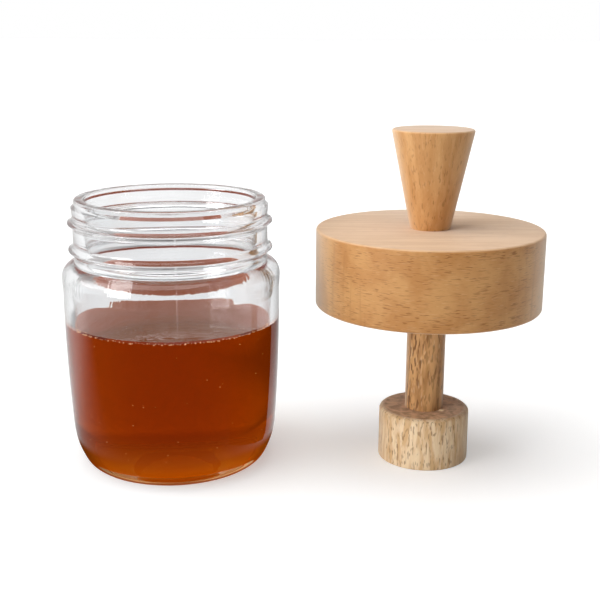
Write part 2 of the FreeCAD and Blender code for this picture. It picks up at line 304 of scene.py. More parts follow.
def stippled_glass():
    """The jar's underside: stippled in the mould, so it spreads light, and painted amber for light that
    has come through the honey.
    """
    material, tree = new_material("stippled_glass_under_honey")
    glass = add(
        tree,
        "ShaderNodeBsdfPrincipled",
        {
            "Base Color": colour("#d08a3c"),
            # painted light: amber for honey-coloured light in the underside
            "Roughness": 0.6,
            "IOR": 1.51,
            "Transmission Weight": 1.0,
        },
    )
    add(tree, "ShaderNodeOutputMaterial", (let_light_through(tree, glass),))
    return material


def wetted_glass():
    """The inner face of the glass where honey touches it: their indices match, so it can't be seen."""
    material, tree = new_material("glass_wetted_by_honey")
    add(tree, "ShaderNodeOutputMaterial", (add(tree, "ShaderNodeBsdfTransparent"),))
    return material


HONEY_ABSORBS = {"Color": (0.852, 0.66, 0.06, 1.0), "Density": 160.0}
PAINTED_SIDE_GLOW = (0.079, 0.0105, 0.0004, 1.0)      # painted glow of the honey's side
PAINTED_HEEL_GLOW = (0.15, 0.04, 0.002, 1.0)          # painted glow low down, for light from the paper
PAINTED_FLOOR_GLOW = (0.27, 0.05, 0.0, 1.0)           # painted glow just above the floor of the jar
# painted glow of the honey's free top
PAINTED_TOP_GLOW = (0.105, 0.042, 0.006, 1.0)
HEEL_LIT = (6 * MM, 26 * MM)                  # heights between which the heel's glow fades
FLOOR_GLOW_HEIGHTS = (5.2 * MM, 9 * MM)                  # heights between which the painted floor glow and veil fade out
# painted shade: a grey veil that halves what shows through the honey low down
PAINTED_FLOOR_VEIL = (0.5, 0.5, 0.5, 1.0)
SWIRL = 9.1                                   # millimetres between the slow swirls of its top
HAIR = 0.01 * MM                              # less than this apart counts as touching


def honey_painted_glow(tree):
    """Where honey wets the glass: a clear face with a painted glow, and a painted grey veil low down.
    """
    _, _, z = object_xyz(tree)
    up_side = add(tree, "ShaderNodeMapRange", (z, *HEEL_LIT), **SMOOTH)
    near_floor = add(tree, "ShaderNodeMapRange", (z, *FLOOR_GLOW_HEIGHTS, 1.0, 0.0), **SMOOTH)
    glow_colour = {0: up_side, 6: PAINTED_HEEL_GLOW, 7: PAINTED_SIDE_GLOW}
    glow_colour = add(tree, "ShaderNodeMix", glow_colour, data_type="RGBA")
    glow_colour = add(tree, "ShaderNodeMix", {0: near_floor, 6: glow_colour, 7: PAINTED_FLOOR_GLOW}, data_type="RGBA")
    veil = add(tree, "ShaderNodeMix", {0: near_floor, 6: WHITE, 7: PAINTED_FLOOR_VEIL}, data_type="RGBA")
    glow = add(tree, "ShaderNodeEmission", {"Color": glow_colour, "Strength": 1.0})
    veiled = add(tree, "ShaderNodeBsdfTransparent", {"Color": veil})
    return add(tree, "ShaderNodeAddShader", (veiled, glow))


def forest_honey(level, wall):
    """Forest honey: it takes out blue at once, green over centimetres and red slowly.

    Only its free top bends light. Elsewhere it wets glass of its own index.
    """
    material, tree = new_material("forest_honey")
    _, _, z = object_xyz(tree)
    below = add(tree, "ShaderNodeMath", (z, level - HAIR), operation="LESS_THAN")
    far = distance_squared(tree, JAR_X)
    at_wall = add(tree, "ShaderNodeMath", (far, (wall + HAIR) ** 2), operation="GREATER_THAN")
    wetting = add(tree, "ShaderNodeMath", (below, at_wall), operation="MAXIMUM")
    swirls = grain(tree, (SWIRL, SWIRL, SWIRL), 2.0, 1.5)
    skin = add(
        tree, "ShaderNodeBump", {"Strength": 0.2, "Distance": 0.5 * MM, "Height": swirls}
    )
    free_top = add(
        tree,
        "ShaderNodeBsdfPrincipled",
        {
            "Base Color": WHITE,
            "Roughness": 0.0,
            "IOR": 1.49,
            "Transmission Weight": 1.0,
            # painted glow on the honey's free top
            "Emission Color": PAINTED_TOP_GLOW,
            "Emission Strength": 1.0,
            "Normal": skin,
        },
    )
    seen = add(tree, "ShaderNodeMixShader", (wetting, free_top, honey_painted_glow(tree)))
    darkening = add(tree, "ShaderNodeVolumeAbsorption", HONEY_ABSORBS)
    add(tree, "ShaderNodeOutputMaterial", (let_light_through(tree, seen), darkening))
    return material


# ---------------------------------------------------------------- wood

PAINTED_GLINT = "#f3d3a6"                  # painted highlights: glints of light among the pores
PAINTED_EDGE_SHEEN = "#f7dcbc"                 # painted sheen: a paler colour on edges seen side-on
RING_LINES = (2.6, 40, 60)         # sizes of the year rings in millimetres
RINGS_FROM = (18 * MM, 34 * MM)    # how far to the sides of the axis they come in
TOP_PATCH_EDGE = 1.5 * MM              # over which the middle patch of a top fades out


def year_rings(tree, strength):
    """Upright lines where the side cuts the rings, towards its left and right."""
    x, _, _ = object_xyz(tree)
    off_x = add(tree, "ShaderNodeMath", (x, DIPPER_X), operation="SUBTRACT")
    off_x = add(tree, "ShaderNodeMath", (off_x,), operation="ABSOLUTE")
    shown = add(tree, "ShaderNodeMapRange", (off_x, *RINGS_FROM, 0.0, strength), **SMOOTH)
    lines = grain(tree, RING_LINES, 2.0, 0.5, 2.3)
    lines = add(tree, "ShaderNodeMapRange", (lines, 0.5, 0.68), **SMOOTH)
    return add(tree, "ShaderNodeMath", (lines, shown), operation="MULTIPLY")


def open_pores(tree, sizes, least):
    """Pores of these sizes, crowded in some places and sparse in others."""
    pores = grain(tree, sizes, 1.0, 0.2, 3.7)
    pores = add(tree, "ShaderNodeMapRange", (pores, least, least + 0.12), **SMOOTH)
    crowds = grain(tree, tuple(8 * size for size in sizes), 1.0, 0.0, 9.1)
    crowds = add(tree, "ShaderNodeMapRange", (crowds, 0.3, 0.65, 0.35, 1.0), **SMOOTH)
    return add(tree, "ShaderNodeMath", (pores, crowds), operation="MULTIPLY")


def top_face(tree, top_patch_radius):
    """1 on faces that look up, or only on their middle if a radius is given, and else 0."""
    shape = add(tree, "ShaderNodeNewGeometry")
    parts = add(tree, "ShaderNodeSeparateXYZ", (shape.outputs["Normal"],))
    upward = add(tree, "ShaderNodeMapRange", (parts.outputs["Z"], 0.35, 0.8), **SMOOTH)
    if top_patch_radius is None:
        return upward
    ends = ((top_patch_radius - TOP_PATCH_EDGE) ** 2, top_patch_radius**2)
    far = distance_squared(tree, DIPPER_X)
    inside = add(tree, "ShaderNodeMapRange", (far, *ends, 1.0, 0.0), **SMOOTH)
    return add(tree, "ShaderNodeMath", (upward, inside), operation="MULTIPLY")


def wood(
    name,
    tones,
    streaks,
    dashes,
    share,
    top_tones=None,
    mottle=(35, 4, 8),
    least=0.56,
    rings=0.0,
    top_patch_radius=None,
    glint=0.1,
):
    """Sanded wood with open pores, drawn coarser than real ones, which would be too fine to show.

    tones are the light and dark of its grain and the colour of its pores. streaks and dashes are
    the sizes of its grain and of its pores, in millimetres. share says how strongly the pores
    show, least how few there are and glint how strongly painted glints of light show among them.
    top_tones has the two colours of faces that look up and mottle the sizes of their patches.
    rings says how strongly year rings show, and a radius given for the top keeps top_tones inside it.
    """
    material, tree = new_material(name)
    light, dark, pore = (colour(tone) for tone in tones)
    flow = add(tree, "ShaderNodeMapRange", (grain(tree, streaks, 3.0, 0.4), 0.35, 0.65), **SMOOTH)
    shade = add(tree, "ShaderNodeMix", {0: flow, 6: dark, 7: light}, data_type="RGBA")
    if rings:
        lines = {0: year_rings(tree, rings), 6: shade, 7: pore}
        shade = add(tree, "ShaderNodeMix", lines, data_type="RGBA")
    on_side = 1.0
    if top_tones:
        on_top = top_face(tree, top_patch_radius)
        faded = add(tree, "ShaderNodeMath", (on_top, 0.85), operation="MULTIPLY")
        on_side = add(tree, "ShaderNodeMath", (1.0, faded), operation="SUBTRACT")
        cloud = grain(tree, mottle, 3.0, 0.6, 5.3)
        cloud = add(tree, "ShaderNodeMapRange", (cloud, 0.3, 0.7), **SMOOTH)
        tops = {0: cloud, 6: colour(top_tones[0]), 7: colour(top_tones[1])}
        tops = add(tree, "ShaderNodeMix", tops, data_type="RGBA")
        shade = add(tree, "ShaderNodeMix", {0: on_top, 6: shade, 7: tops}, data_type="RGBA")
    # painted highlights: pale glints mixed into the colour among the pores
    glints = grain(tree, dashes, 1.0, 0.2, 17.0)
    glints = add(tree, "ShaderNodeMapRange", (glints, 0.6, 0.7, 0.0, glint), **SMOOTH)
    glints = add(tree, "ShaderNodeMath", (glints, on_side), operation="MULTIPLY")
    bright = {0: glints, 6: shade, 7: colour(PAINTED_GLINT)}
    shade = add(tree, "ShaderNodeMix", bright, data_type="RGBA")
    pores = open_pores(tree, dashes, least)
    pores = add(tree, "ShaderNodeMath", (pores, on_side), operation="MULTIPLY")
    tinted = add(tree, "ShaderNodeMath", (pores, share), operation="MULTIPLY")
    shade = add(tree, "ShaderNodeMix", {0: tinted, 6: shade, 7: pore}, data_type="RGBA")
    height = add(tree, "ShaderNodeMath", (1.0, pores), operation="SUBTRACT")
    relief = {"Strength": 0.25, "Distance": 0.15 * MM, "Height": height}
    # painted sheen: edges seen side-on are mixed towards a pale colour
    edge = add(tree, "ShaderNodeLayerWeight", {"Blend": 0.5}).outputs["Facing"]
    edge_sheen = add(tree, "ShaderNodeMapRange", (edge, 0.3, 0.95, 0.0, 0.58), **SMOOTH)
    edge_sheen = add(tree, "ShaderNodeMath", (edge_sheen, on_side), operation="MULTIPLY")
    sheen_mix = {0: edge_sheen, 6: shade, 7: colour(PAINTED_EDGE_SHEEN)}
    shade = add(tree, "ShaderNodeMix", sheen_mix, data_type="RGBA")
    timber = add(
        tree,
        "ShaderNodeBsdfPrincipled",
        {
            "Base Color": shade,
            "Roughness": 0.6,
            "IOR": 1.45,
            "Sheen Weight": 0.4,
            "Sheen Roughness": 0.4,
            "Normal": add(tree, "ShaderNodeBump", relief),
        },
    )
    add(tree, "ShaderNodeOutputMaterial", (timber,))
    return material


def beech_disc():
    """Beech across the grain: short brown ray dashes on the side, and a top painted pale for the sheen
    of the light from above.
    """
    return wood(
        "sanded_beech",
        ("#c99459", "#bb8247", "#7e4614"),
        (12, 12, 12),
        (3.6, 3.6, 0.42),
        0.6,
        # painted light: the pale top tones stand in for the sheen of the light from above
        ("#d9b48e", "#cda379"),
        rings=0.3,
    )


def beech_knob():
    """Beech with its grain upright: fine brown pores that run up the cone."""
    return wood(
        "turned_beech",
        ("#d4a168", "#c69056", "#7e4716"),
        (3.5, 3.5, 90),
        (0.7, 0.7, 5),
        0.5,
        # painted light: the pale top tones stand in for the sheen of the light from above
        ("#d9b48e", "#cda379"),
        least=0.58,
    )


def stem_wood():
    """A coarse hardwood dowel: long dark pores with pale wood between them, and painted glints of
    light.
    """
    return wood(
        "hardwood_dowel",
        ("#dca86d", "#b7824b", "#663405"),
        (3, 3, 14),
        (1.0, 1.0, 4.6),
        0.85,
        least=0.52,
        # painted highlights: stronger glints than the other woods
        glint=0.35,
    )


def foot_wood():
    """The same hardwood cut thicker, with finer pores: paler, partly its own tone and partly painted
    light, and darker and mottled in the middle of its top.
    """
    return wood(
        "hardwood_block",
        ("#f8deb8", "#dfb683", "#8a5220"),
        (2.2, 2.2, 14),
        (0.8, 0.8, 3.4),
        0.6,
        ("#efc08c", "#b07c4b"),
        mottle=(4, 4, 4),
        top_patch_radius=17.6 * MM,
    )


def crumb_wood():
    """A pale torn fibre of the foot's wood."""
    return wood("wood_crumb", ("#f6dcb4", "#dcb988", "#a97c4c"), (1, 1, 1), (0.5, 0.5, 0.5), 0.3)


# ---------------------------------------------------------------- the jar and its honey

JAR_STEPS = 192
BASE_RISE = 2.2 * MM                    # how far the underside is pushed up
RING_RADIUS = 32.6 * MM                 # outer edge of the ring it stands on
RING_WIDTH = 3.2 * MM
HEEL_ROUND = 6.3 * MM
HEEL_TOP = (42.23 * MM, 17.3 * MM)      # radius and height, as in the places below
WAIST = (43.97 * MM, 68.0 * MM)
SWELL_LOW = 73.8 * MM                   # where the side starts to swell to the shoulder
SHOULDER = (44.23 * MM, 79.5 * MM)
NECK = (39.23 * MM, 84.9 * MM)
BEAD_REACH = 1.94 * MM                  # of both rings, out from the neck
BEAD_NOSE = 0.45 * MM                   # the round at their crests
LOWER_BEAD = (90.5 * MM, 3.0 * MM, 3.0 * MM)      # height of its crest, drop and rise to the neck
UPPER_BEAD = (101.3 * MM, 2.8 * MM, 2.8 * MM)
LIP_CORNER = (39.58 * MM, 107.5 * MM)
LIP_SLOPE = (1.2 * MM, 1.2 * MM)
LIP_ROUND = 0.8 * MM
MOUTH_RADIUS = 34.43 * MM
FLOOR = 5.0 * MM
FLOOR_RADIUS = 31.03 * MM
FLOOR_ROUND = 5.5 * MM
INNER_LOW = (38.43 * MM, 17.5 * MM)
INNER_WALL = 40.17 * MM
INNER_SHOULDER = 77.4 * MM
BORE_LOW = NECK[1] + 5.5 * MM           # where the inside is upright again under the mouth
FACE_REACH = 0.1 * MM                   # how far past a surface its faces are still counted to it
INTO_WALL = 0.15 * MM                   # how far the honey reaches into the glass


def wall_outline(floor, edge, small, low, high):
    """A floor's edge, two tangent arcs and the long side arc that ends upright at high."""
    taper = high[0] - low[0]
    rise = high[1] - low[1]
    side = (taper**2 + rise**2) / (2 * taper)
    cosine = (side - taper) / side
    sine = rise / side
    across = low[0] - edge
    up = low[1] - floor - small
    heel = (across**2 + up**2 - small**2) / (2 * (across * cosine - up * sine - small))
    centre_small = (edge, floor + small)
    centre_heel = (low[0] - heel * cosine, low[1] + heel * sine)
    joint = math.degrees(
        math.atan2(centre_small[1] - centre_heel[1], centre_small[0] - centre_heel[0])
    )
    lean = -math.degrees(math.asin(sine))
    return (
        [(edge, floor)]
        + arc(centre_small, small, -90, joint, 8)
        + arc(centre_heel, heel, joint, lean, 16)
        + arc((high[0] - side, high[1]), side, lean, 0, 14)
    )


def bead_side(foot, crest):
    """From the neck to a ring's crest: a hollow and a nose that meet smoothly, both ends upright."""
    reach_out = crest[0] - foot[0]
    rise = foot[1] - crest[1]
    bend = (reach_out**2 + rise**2) / (2 * reach_out)
    root = bend - BEAD_NOSE
    swept = math.degrees(math.asin(rise / bend))
    hollow = arc((foot[0] + root, foot[1]), root, 180, 180 + swept, 7)
    return hollow + arc((crest[0] - BEAD_NOSE, crest[1]), BEAD_NOSE, swept, 0, 7)


def bead_outline(bead):
    """The half of a ring below its crest and the half above it."""
    height, drop, rise = bead
    crest = (NECK[0] + BEAD_REACH, height)
    low = (NECK[0], height - drop)
    high = (NECK[0], height + rise)
    upper = [crest] + bead_side(high, crest)[::-1][1:] + [high]
    return [low] + bead_side(low, crest) + upper[1:]


def lip_outline(rim):
    """From the neck's outer edge over the sloped and rounded lip to the mouth."""
    crown = LIP_CORNER[0] - LIP_SLOPE[0]
    edge = rim - LIP_ROUND
    outline = [LIP_CORNER, (crown, LIP_CORNER[1] + LIP_SLOPE[1]), (crown, edge)]
    outline += arc((crown - LIP_ROUND, edge), LIP_ROUND, 0, 90, 6)
    outline += [(MOUTH_RADIUS + LIP_ROUND, rim)]
    return outline + arc((MOUTH_RADIUS + LIP_ROUND, edge), LIP_ROUND, 90, 180, 6)


def outer_outline():
    """The jar's outside from the middle of its underside to its mouth."""
    hollow = RING_RADIUS - RING_WIDTH
    bend = (hollow**2 + BASE_RISE**2) / (2 * BASE_RISE)
    ring_angle = math.degrees(math.asin(hollow / bend))
    outline = [(0, BASE_RISE)] + arc((0, BASE_RISE - bend), bend, 90, 90 - ring_angle, 6)
    outline += wall_outline(0, RING_RADIUS, HEEL_ROUND, HEEL_TOP, WAIST)
    outline += [(WAIST[0], SWELL_LOW)]
    outline += upright_arc(outline[-1], SHOULDER, "end", 6)
    outline += upright_arc(SHOULDER, NECK, "start", 16)
    outline += bead_outline(LOWER_BEAD) + bead_outline(UPPER_BEAD)
    return outline + lip_outline(top("jar"))


def inner_outline():
    """The jar's inside from the edge of its floor to its bore, with an S for the inner shoulder."""
    outline = wall_outline(FLOOR, FLOOR_RADIUS, FLOOR_ROUND, INNER_LOW, (INNER_WALL, WAIST[1]))
    outline += [(INNER_WALL, INNER_SHOULDER)]
    bore = (MOUTH_RADIUS, BORE_LOW)
    turning = ((INNER_WALL + bore[0]) / 2, (INNER_SHOULDER + bore[1]) / 2)
    outline += upright_arc(outline[-1], turning, "start", 12)
    return outline + upright_arc(turning, bore, "end", 12)


def make_jar():
    outline = outer_outline() + inner_outline()[::-1] + [(0, FLOOR)]
    jar = turn("glass_jar", outline, JAR_X, JAR_STEPS)
    finish_piece(
        jar, "jar", "jar_glass", soda_lime_glass(), wetted_glass(), stippled_glass(), angle=28
    )
    for face in jar.data.polygons:
        spot = face.center
        inward = (Vector((JAR_X, 0, spot.z)) - spot).dot(face.normal) > 0
        within = math.hypot(spot.x - JAR_X, spot.y) < INNER_WALL + FACE_REACH
        in_honey = FLOOR - FACE_REACH < spot.z < HONEY_LEVEL
        if in_honey and within and (inward or face.normal.z > 0.5):
            face.material_index = 1
        if face.normal.z < -0.3 and spot.z < BASE_RISE + FACE_REACH:
            face.material_index = 2


def make_honey():
    low = (INNER_LOW[0] + INTO_WALL, INNER_LOW[1])
    high = (INNER_WALL + INTO_WALL, WAIST[1])
    side = wall_outline(FLOOR - INTO_WALL, FLOOR_RADIUS + INTO_WALL, FLOOR_ROUND, low, high)
    side = [point for point in side if point[1] < HONEY_LEVEL]
    outline = [(0, FLOOR - INTO_WALL)] + side
    outline += [(side[-1][0], HONEY_LEVEL), (0, HONEY_LEVEL)]
    fill = turn("honey_fill", outline, JAR_X, JAR_STEPS)
    finish_piece(fill, "honey", "honey", forest_honey(HONEY_LEVEL, INNER_WALL), angle=30)


# ---------------------------------------------------------------- small things

BUBBLES = 150
BUBBLES_ON_TOP = 100                      # the first ones, in a line along the honey's front edge
BUBBLE_RADIUS = (0.1 * MM, 0.27 * MM)
BUBBLE_SPREAD = math.radians(78)          # how far round to each side of the front they go
BUBBLE_JITTER = 0.008                     # part of that spread
BUBBLE_DEPTH = (0.55 * MM, 1.1 * MM)      # of the top ones, below the honey's skin
RISING = (12 * MM, HONEY_LEVEL - 3 * MM)  # heights of the others
RISING_SIZE = 0.6                         # of the top ones' size
BUBBLE_GAP = 0.2 * MM                     # between a bubble and the glass
HEEL_GAP = (18 * MM, 1.5 * MM)            # below this height they stay this much further in
CRUMB_SPOT = (DIPPER_X + 6.5 * MM, -7.2 * MM, top("foot") + 0.35 * MM)
CRUMB_RADIUS = 0.9 * MM
CRUMB_STRETCH = (1.3, 0.8, 0.5)
CRUMB_ROUGH = 0.15 * MM                   # how far its corners are pushed about


def bubble_skin():
    """Air bubbles caught in honey: pale peach, with a painted glow for the light they throw back."""
    material, tree = new_material("air_bubbles_in_honey")
    skin = add(
        tree,
        "ShaderNodeBsdfPrincipled",
        {
            "Base Color": colour("#f6d0a4"),
            "Roughness": 0.25,
            # painted glow of the bubbles
            "Emission Color": colour("#f2b98a"),
            "Emission Strength": 0.35,
        },
    )
    add(tree, "ShaderNodeOutputMaterial", (skin,))
    return material


def join(name):
    """Joins the selected meshes into one piece at the origin."""
    bpy.ops.object.join()
    piece = bpy.context.object
    bpy.ops.object.transform_apply(location=True, rotation=True, scale=True)
    piece.name = name
    piece.data.name = name
    return piece


def add_ball(spot, radius):
    bpy.ops.mesh.primitive_ico_sphere_add(subdivisions=2, radius=radius, location=spot)
    return bpy.context.object


def make_bubbles():
    """Bubbles that rose along the glass and stopped under the honey's skin, and some on their way."""
    wall_lean = (INNER_WALL - INNER_LOW[0]) / (HONEY_LEVEL - INNER_LOW[1])
    half = (BUBBLES_ON_TOP - 1) / 2
    balls = []
    for number in range(BUBBLES):
        radius = random.uniform(*BUBBLE_RADIUS)
        if number < BUBBLES_ON_TOP:
            turned = (number / half - 1 + random.gauss(0, BUBBLE_JITTER)) * BUBBLE_SPREAD
            height = HONEY_LEVEL - random.uniform(*BUBBLE_DEPTH) - radius
        else:
            turned = random.uniform(-1, 1) * BUBBLE_SPREAD
            height = random.uniform(*RISING)
            radius *= RISING_SIZE
        out = INNER_WALL - BUBBLE_GAP - radius - (HONEY_LEVEL - height) * wall_lean
        if height < HEEL_GAP[0]:
            out -= HEEL_GAP[1]
        spot = (JAR_X + out * math.sin(turned), -out * math.cos(turned), height)
        balls.append(add_ball(spot, radius))
    for ball in balls:
        ball.select_set(True)
    finish_piece(join("honey_bubbles"), None, "honey", bubble_skin())


def make_crumb():
    """A crumb of wood by the foot of the stem."""
    crumb = add_ball(CRUMB_SPOT, CRUMB_RADIUS)
    crumb.scale = CRUMB_STRETCH
    crumb.select_set(True)
    crumb = join("stem_crumb")
    for corner in crumb.data.vertices:
        corner.co += Vector([random.uniform(-CRUMB_ROUGH, CRUMB_ROUGH) for _ in range(3)])
    finish_piece(crumb, None, "hardwood_foot", crumb_wood(), angle=30)


# ---------------------------------------------------------------- the dipper lid

LID_EDGE = 1.1 * MM
RECESS_RADIUS = 41.77 * MM
PLATE_LOW = 89.3 * MM             # underside of the plate over the recess
TENON_RADIUS = 5.0 * MM
TENON_HOLE = 5.1 * MM
KNOB_FOOT = 8.25 * MM
KNOB_FOOT_EDGE = (0.25 * MM, 0.3 * MM)      # across and up
KNOB_EDGE = 0.9 * MM
KNOB_EDGE_IN = 1.05 * KNOB_EDGE   # from its widest point to the centre of that round
KNOB_WIDER = 0.45 * MM            # than its CAD node
KNOB_HIGHER = 0.6 * MM
STEM_RADIUS = 8.0 * MM
SOCKET_RADIUS = 8.1 * MM
SOCKET_FLOOR = 10.0 * MM
FOOT_LOW_EDGE = 0.8 * MM
FOOT_TOP_EDGE = 1.8 * MM


def make_lid():
    low = bottom("lid")
    high = top("lid")
    radius = reach("lid")
    side = radius - LID_EDGE
    outline = [(TENON_HOLE, PLATE_LOW), (RECESS_RADIUS, PLATE_LOW), (RECESS_RADIUS, low)]
    outline += [(side, low)] + arc((side, low + LID_EDGE), LID_EDGE, -90, 0, 5)
    outline += [(radius, high - LID_EDGE)] + arc((side, high - LID_EDGE), LID_EDGE, 0, 90, 5)
    outline += [(TENON_HOLE, high), (TENON_HOLE, PLATE_LOW)]
    lid = turn("lid_disc", outline, DIPPER_X, 160)
    finish_piece(lid, "lid", "beech_lid", beech_disc(), angle=40)


def make_knob():
    base = bottom("knob")
    crown = top("knob") + KNOB_HIGHER
    wide = reach("knob") + KNOB_WIDER
    lean = math.degrees(math.atan2(wide - KNOB_FOOT, crown - base))
    outline = [(0, base), (KNOB_FOOT - KNOB_FOOT_EDGE[0], base)]
    outline += [(KNOB_FOOT, base + KNOB_FOOT_EDGE[1])]
    outline += arc((wide - KNOB_EDGE_IN, crown - KNOB_EDGE), KNOB_EDGE, -lean, 90, 7)
    outline += [(0, crown)]
    knob = turn("knob_cone", outline, DIPPER_X, 128)
    finish_piece(knob, "knob", "beech_knob", beech_knob(), angle=40)


def make_stem():
    low = bottom("stem")
    high = top("stem")
    outline = [(0, low), (STEM_RADIUS, low), (STEM_RADIUS, PLATE_LOW)]
    outline += [(TENON_RADIUS, PLATE_LOW), (TENON_RADIUS, high), (0, high)]
    stem = turn("stem_dowel", outline, DIPPER_X, 96)
    finish_piece(stem, "stem", "hardwood_stem", stem_wood(), angle=40)


def make_foot():
    width = reach("foot")
    height = top("foot")
    low_edge = (width - FOOT_LOW_EDGE, FOOT_LOW_EDGE)
    top_edge = (width - FOOT_TOP_EDGE, height - FOOT_TOP_EDGE)
    outline = [(0, 0), (low_edge[0], 0)] + arc(low_edge, FOOT_LOW_EDGE, -90, 0, 4)
    outline += arc(top_edge, FOOT_TOP_EDGE, 0, 90, 6)
    outline += [(SOCKET_RADIUS, height), (SOCKET_RADIUS, SOCKET_FLOOR), (0, SOCKET_FLOOR)]
    foot = turn("foot_block", outline, DIPPER_X, 128)
    finish_piece(foot, "foot", "hardwood_foot", foot_wood(), angle=40)


# ---------------------------------------------------------------- stage

SHEET = 40.0                              # metres across
FLOOR_LIFT = 0.35                         # a glow that only the camera sees, to make it plain white
RIGHT_SIDE = 0.4                          # how bright the right is in the glass
LEFT_THROUGH = 0.35                       # how bright the far left is through the glass
PAPER_BEHIND = (-0.06, 0.06, 0.02, 1.0)   # along Y: from, to, and brightness in the glass there
PAPER_RIGHT = (-0.03, 0.1, 1.0, RIGHT_SIDE)
PAPER_LEFT = (-0.15, -0.08, LEFT_THROUGH, 1.0)
PAPER_FAR = (0.1, 0.2, 0.0, 1.0)
AMBER_LIGHT_UNDER_JAR = ((46 * MM) ** 2, (56 * MM) ** 2)     # painted amber light under the jar: distances from the jar's axis, squared
FLAG_X = -2 * MM
FLAG_Y = -24 * MM
FLAG_WIDTH = 40 * MM
FLAG_LOW = 2 * MM
FLAG_HIGH = 98 * MM


def white_paper():
    """Matt white paper. In glass it shows painted light and shade: white behind, dark in front, and a
    painted amber light under the honey.
    """
    material, tree = new_material("white_paper_sweep")
    matt = add(tree, "ShaderNodeBsdfDiffuse", {"Color": colour("#e7e7e7")})
    lift = rays(tree, "Is Camera Ray")
    lift = add(tree, "ShaderNodeMath", (lift, FLOOR_LIFT), operation="MULTIPLY")
    glow = add(tree, "ShaderNodeEmission", {"Color": WHITE, "Strength": lift})
    paper = add(tree, "ShaderNodeAddShader", (matt, glow))
    x, y, _ = object_xyz(tree)
    behind = add(tree, "ShaderNodeMapRange", (y, *PAPER_BEHIND), **SMOOTH)
    right = add(tree, "ShaderNodeMapRange", (x, *PAPER_RIGHT), **SMOOTH)
    mirrored = add(tree, "ShaderNodeMath", (behind, right), operation="MULTIPLY")
    left = add(tree, "ShaderNodeMapRange", (x, *PAPER_LEFT), **SMOOTH)
    far = add(tree, "ShaderNodeMapRange", (y, *PAPER_FAR), **SMOOTH)
    beyond = add(tree, "ShaderNodeMath", (left, far), operation="MAXIMUM")
    seen_through = rays(tree, "Is Transmission Ray")
    # painted reflections: how bright the paper looks in the glass
    bright = add(tree, "ShaderNodeMix", {0: seen_through, 2: mirrored, 3: beyond})
    off_axis = distance_squared(tree, JAR_X)
    under = add(tree, "ShaderNodeMapRange", (off_axis, *AMBER_LIGHT_UNDER_JAR, 1.0, 0.0), **SMOOTH)
    # painted light: honey-coloured light on the paper under the jar
    tone = {0: under, 6: WHITE, 7: colour("#9c5214")}
    tone = add(tree, "ShaderNodeMix", tone, data_type="RGBA")
    in_glass = add(tree, "ShaderNodeEmission", {"Color": tone, "Strength": bright})
    bent = rays(tree, "Is Transmission Ray", "Is Glossy Ray")
    add(
        tree,
        "ShaderNodeOutputMaterial",
        (add(tree, "ShaderNodeMixShader", (bent, paper, in_glass)),),
    )
    return material


def make_stage():
    bpy.ops.object.select_all(action="DESELECT")
    bpy.ops.mesh.primitive_plane_add(size=SHEET, location=(0, 0, 0))
    floor = bpy.context.object
    floor.name = "floor"
    floor.data.materials.append(white_paper())


def black_card():
    """Matt black card: a soft dark edge down the right of the glass."""
    material, tree = new_material("black_flag_card")
    matt = add(tree, "ShaderNodeBsdfDiffuse", {"Color": colour("#140c08")})
    add(tree, "ShaderNodeOutputMaterial", (matt,))
    return material


def make_flag():
    """A card that stands between jar and dipper and that only reflections see."""
    middle = (FLAG_X, FLAG_Y, (FLAG_LOW + FLAG_HIGH) / 2)
    bpy.ops.object.select_all(action="DESELECT")
    bpy.ops.mesh.primitive_plane_add(size=1, location=middle)
    flag = bpy.context.object
    flag.name = "flag"
    flag.scale = (FLAG_HIGH - FLAG_LOW, FLAG_WIDTH, 1)
    flag.rotation_euler = (0, math.radians(90), 0)
    flag.data.materials.append(black_card())
    flag.visible_camera = False
    flag.visible_diffuse = False
    flag.visible_shadow = False
    flag.visible_transmission = False


# ---------------------------------------------------------------- world, light and camera

AMBIENT = 0.17
ROOM = 0.03                       # behind the camera, in reflections
ROOM_THROUGH = 0.6                # and through the glass
SKY = 0.22                        # over the jar, in reflections
SKY_SIDES = 2.6                   # how fast the sky brightens away from the jar
SKY_MIDDLE = JAR_X / 0.43         # the way across to the jar, which is 0.43 m from the camera
SKY_THROUGH = 0.85                # high up, through the glass
CEILING = 0.25
WINDOW = (-0.0715, 0.2595)        # a small bright patch: parts of the way across and up
WINDOW_HALF = (0.009, 0.007)
WINDOW_GLOW = 0.12
CAMERA_PLACE = Vector((-1.1, -416.5, 175.3)) * MM
CAMERA_PITCH = 14.473
CAMERA_ROLL = 0.259
CAMERA_LENS = 62.42


def reflected_sky(tree, across, up):
    """What glass mirrors: white low down and to the sides, grey over the object, dim to the right."""
    aside = add(tree, "ShaderNodeMath", (across, SKY_MIDDLE), operation="SUBTRACT")
    aside = add(tree, "ShaderNodeMath", (aside,), operation="ABSOLUTE")
    upper = add(tree, "ShaderNodeMath", (aside, SKY_SIDES, SKY), operation="MULTIPLY_ADD")
    upper = add(tree, "ShaderNodeMath", (upper, 1.0), operation="MINIMUM")
    risen = add(tree, "ShaderNodeMapRange", (up, 0.12, 0.2), **SMOOTH)
    whole = add(tree, "ShaderNodeMix", {0: risen, 2: 1.0, 3: upper})
    right = add(tree, "ShaderNodeMapRange", (across, 0.1, 0.7, 1.0, RIGHT_SIDE), **SMOOTH)
    return add(tree, "ShaderNodeMath", (whole, right), operation="MULTIPLY")


def small_window(tree, across, up):
    """A small bright patch high behind the object."""
    level = (across, WINDOW[0], WINDOW_HALF[0])
    level = add(tree, "ShaderNodeMath", level, operation="COMPARE")
    upright = (up, WINDOW[1], WINDOW_HALF[1])
    upright = add(tree, "ShaderNodeMath", upright, operation="COMPARE")
    window = add(tree, "ShaderNodeMath", (level, upright), operation="MULTIPLY")
    return add(tree, "ShaderNodeMath", (window, WINDOW_GLOW), operation="MULTIPLY")


